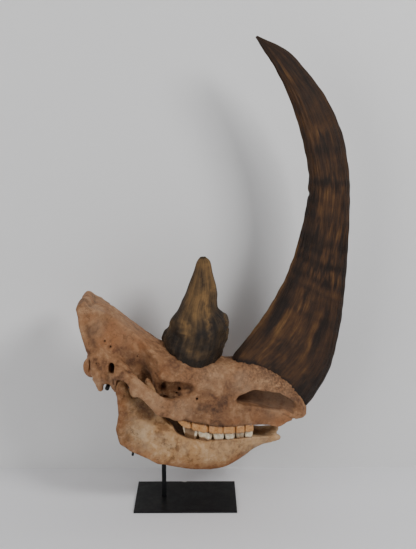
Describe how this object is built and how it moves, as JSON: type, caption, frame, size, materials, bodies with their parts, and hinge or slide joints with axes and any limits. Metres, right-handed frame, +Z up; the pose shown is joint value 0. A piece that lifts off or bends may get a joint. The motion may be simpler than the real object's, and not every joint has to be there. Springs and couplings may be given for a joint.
{
  "type": "woolly rhinoceros skull",
  "caption": "Fossil skull with its lower jaw, a long curved nasal horn and a short frontal horn, held up on a black metal stand with a flat base plate.",
  "frame": {"origin": "centre of the base plate's underside", "axes": "+Z up, +X towards the nose, +Y towards the animal's left side; the skull's mirror plane is Y = 0"},
  "size_m": [0.8494, 0.328, 1.479],
  "materials": {
    "bone": "matte",
    "jaw_bone": "matte",
    "dark_horn": "satin",
    "olive_horn": "satin",
    "upper_enamel": "satin",
    "lower_enamel": "satin",
    "black_paint": "satin"
  },
  "bodies": {
    "root": {"cranium": "bone", "mandible": "jaw_bone", "nasal_horn": "dark_horn", "frontal_horn": "olive_horn", "upper_m3_right": "upper_enamel", "upper_m3_left": "upper_enamel", "upper_m2_right": "upper_enamel", "upper_m2_left": "upper_enamel", "upper_m1_right": "upper_enamel", "upper_m1_left": "upper_enamel", "upper_p4_right": "upper_enamel", "upper_p4_left": "upper_enamel", "upper_p3_right": "upper_enamel", "upper_p3_left": "upper_enamel", "upper_p2_right": "upper_enamel", "upper_p2_left": "upper_enamel", "lower_m3_right": "lower_enamel", "lower_m3_left": "lower_enamel", "lower_m2_right": "lower_enamel", "lower_m2_left": "lower_enamel", "lower_m1_right": "lower_enamel", "lower_m1_left": "lower_enamel", "lower_p4_right": "lower_enamel", "lower_p4_left": "lower_enamel", "lower_p3_right": "lower_enamel", "lower_p3_left": "lower_enamel", "lower_p2_right": "lower_enamel", "lower_p2_left": "lower_enamel", "base_plate": "black_paint", "post": "black_paint", "skull_bracket": "black_paint", "jaw_bracket": "black_paint"}
  },
  "joints": []
}
